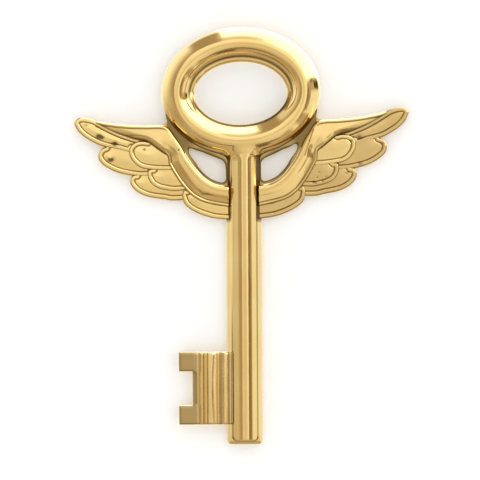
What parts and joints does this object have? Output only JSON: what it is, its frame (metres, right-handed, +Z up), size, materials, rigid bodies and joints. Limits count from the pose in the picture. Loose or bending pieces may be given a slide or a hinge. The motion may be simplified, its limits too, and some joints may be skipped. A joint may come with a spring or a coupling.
{
  "type": "decorative winged key",
  "caption": "Decorative brass wall key with an oval bow, spread feathered wings, a half-round shank and a notched bit, hung from a keyhole plate let into its back.",
  "frame": {"origin": "centre of the keyhole hanger's round hole, in the key's flat back", "axes": "+Z up along the key to its bow, +X to the viewer's right, face along -Y, flat back at Y = 0"},
  "size_m": [0.224, 0.015, 0.2786],
  "materials": {
    "cast_brass": "polished casting",
    "sheet_brass": "plain sheet",
    "steel": "plain"
  },
  "bodies": {
    "root": {"bow_ring": "cast_brass", "shank": "cast_brass", "bow_stud": "steel", "bit": "cast_brass", "bit_pins": "steel", "hanger_plate": "sheet_brass", "hanger_screws": "steel", "plate_screws": "steel", "left_wing_arm": "cast_brass", "left_upper_covert": "cast_brass", "left_lower_covert": "cast_brass", "left_primary_feather": "cast_brass", "left_second_feather": "cast_brass", "left_third_feather": "cast_brass", "left_lowest_feather": "cast_brass", "left_wing_plate": "sheet_brass", "left_wing_screws": "steel", "right_wing_arm": "cast_brass", "right_upper_covert": "cast_brass", "right_lower_covert": "cast_brass", "right_primary_feather": "cast_brass", "right_second_feather": "cast_brass", "right_third_feather": "cast_brass", "right_lowest_feather": "cast_brass", "right_wing_plate": "sheet_brass", "right_wing_screws": "steel"}
  },
  "joints": []
}
